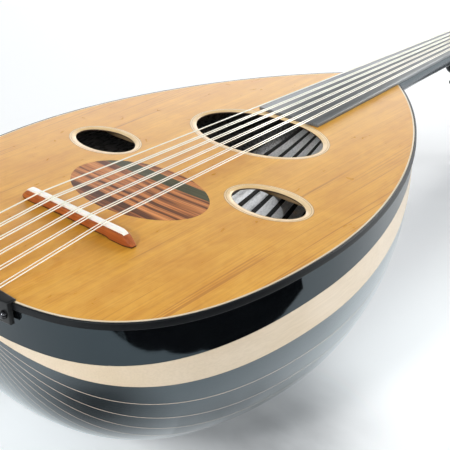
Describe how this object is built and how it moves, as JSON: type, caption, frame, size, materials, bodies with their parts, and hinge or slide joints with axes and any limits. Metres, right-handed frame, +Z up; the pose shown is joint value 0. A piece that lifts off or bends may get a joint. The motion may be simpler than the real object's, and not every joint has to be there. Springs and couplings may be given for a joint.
{
  "type": "oud",
  "caption": "Fretless bowl-back lute with a ribbed body, floating bridge, three oval soundholes, bent-back pegbox and friction pegs.",
  "frame": {"origin": "on the floor under the middle of the instrument's overall length, on its centre plane, with the oud lying on its back", "axes": "+X along the strings from the tail to the neck, +Y across to the bass side, +Z up out of the soundboard"},
  "size_m": [0.7954, 0.3596, 0.1974],
  "materials": {
    "soundboard_cedar": "satin, straight grain along the strings",
    "maple": "satin, pale",
    "ebony_gloss": "high gloss black",
    "bowl_ebony": "high gloss black with pale lines between the ribs",
    "rosewood": "satin, striped",
    "fingerboard_ebony": "satin dark grey",
    "neck_ebony": "gloss black",
    "pegbox_ebony": "gloss black",
    "peg_ebony": "polished black",
    "bridge_wood": "satin red-brown",
    "bone": "polished bone",
    "string_nylon": "smooth pale",
    "dark_steel": "polished",
    "inner_spruce": "bare wood"
  },
  "bodies": {
    "instrument": {"soundboard": "soundboard_cedar", "purfling_line": "maple", "edge_binding": "ebony_gloss", "soundhole_ring_large": "maple", "soundhole_ring_near": "maple", "soundhole_ring_far": "maple", "pickguard": "rosewood", "tailpiece": "ebony_gloss", "string_anchor_rail": "dark_steel", "tail_screw_near": "dark_steel", "tail_screw_far": "dark_steel", "fingerboard": "fingerboard_ebony", "nut": "bone", "neck": "neck_ebony", "pegbox_cheek_near": "pegbox_ebony", "pegbox_cheek_far": "pegbox_ebony", "pegbox_back": "pegbox_ebony", "pegbox_end": "pegbox_ebony", "neck_block": "inner_spruce", "tail_block": "inner_spruce", "brace_1": "inner_spruce", "brace_2": "inner_spruce", "brace_3": "inner_spruce", "brace_4": "inner_spruce", "side_rib_near": "bowl_ebony", "side_rib_far": "bowl_ebony", "maple_rib_near": "maple", "maple_rib_far": "maple", "bowl_panel_near_a": "bowl_ebony", "bowl_panel_near_b": "bowl_ebony", "bowl_panel_near_c": "bowl_ebony", "bowl_panel_centre": "bowl_ebony", "bowl_panel_far_c": "bowl_ebony", "bowl_panel_far_b": "bowl_ebony", "bowl_panel_far_a": "bowl_ebony", "rib_end_clasp": "ebony_gloss", "string_01": "string_nylon", "string_02": "string_nylon", "string_03": "string_nylon", "string_04": "string_nylon", "string_05": "string_nylon", "string_06": "string_nylon", "string_07": "string_nylon", "string_08": "string_nylon", "string_09": "string_nylon", "string_10": "string_nylon", "string_11": "string_nylon"},
    "peg_far_1_body": {"peg_far_1": "peg_ebony"},
    "peg_far_2_body": {"peg_far_2": "peg_ebony"},
    "peg_far_3_body": {"peg_far_3": "peg_ebony"},
    "peg_far_4_body": {"peg_far_4": "peg_ebony"},
    "peg_far_5_body": {"peg_far_5": "peg_ebony"},
    "peg_far_6_body": {"peg_far_6": "peg_ebony"},
    "peg_near_1_body": {"peg_near_1": "peg_ebony"},
    "peg_near_2_body": {"peg_near_2": "peg_ebony"},
    "peg_near_3_body": {"peg_near_3": "peg_ebony"},
    "peg_near_4_body": {"peg_near_4": "peg_ebony"},
    "peg_near_5_body": {"peg_near_5": "peg_ebony"},
    "bridge": {"bridge_base": "bridge_wood", "bridge_saddle": "bone"}
  },
  "joints": [
    {"name": "peg_far_1_turn", "type": "hinge", "parent": "instrument", "child": "peg_far_1_body", "pos_m": [0.30868, 0, 0.15673], "axis": [0, 1, 0], "continuous": true},
    {"name": "peg_far_2_turn", "type": "hinge", "parent": "instrument", "child": "peg_far_2_body", "pos_m": [0.32309, 0, 0.13042], "axis": [0, 1, 0], "continuous": true},
    {"name": "peg_far_3_turn", "type": "hinge", "parent": "instrument", "child": "peg_far_3_body", "pos_m": [0.33751, 0, 0.10411], "axis": [0, 1, 0], "continuous": true},
    {"name": "peg_far_4_turn", "type": "hinge", "parent": "instrument", "child": "peg_far_4_body", "pos_m": [0.35193, 0, 0.0778], "axis": [0, 1, 0], "continuous": true},
    {"name": "peg_far_5_turn", "type": "hinge", "parent": "instrument", "child": "peg_far_5_body", "pos_m": [0.36634, 0, 0.05148], "axis": [0, 1, 0], "continuous": true},
    {"name": "peg_far_6_turn", "type": "hinge", "parent": "instrument", "child": "peg_far_6_body", "pos_m": [0.38076, 0, 0.02517], "axis": [0, 1, 0], "continuous": true},
    {"name": "peg_near_1_turn", "type": "hinge", "parent": "instrument", "child": "peg_near_1_body", "pos_m": [0.31589, 0, 0.14358], "axis": [0, -1, 0], "continuous": true},
    {"name": "peg_near_2_turn", "type": "hinge", "parent": "instrument", "child": "peg_near_2_body", "pos_m": [0.3303, 0, 0.11726], "axis": [0, -1, 0], "continuous": true},
    {"name": "peg_near_3_turn", "type": "hinge", "parent": "instrument", "child": "peg_near_3_body", "pos_m": [0.34472, 0, 0.09095], "axis": [0, -1, 0], "continuous": true},
    {"name": "peg_near_4_turn", "type": "hinge", "parent": "instrument", "child": "peg_near_4_body", "pos_m": [0.35913, 0, 0.06464], "axis": [0, -1, 0], "continuous": true},
    {"name": "peg_near_5_turn", "type": "hinge", "parent": "instrument", "child": "peg_near_5_body", "pos_m": [0.37355, 0, 0.03833], "axis": [0, -1, 0], "continuous": true},
    {"name": "bridge_slide", "type": "slide", "parent": "instrument", "child": "bridge", "axis": [1, 0, 0], "range_m": [-0.002, 0.004]}
  ]
}
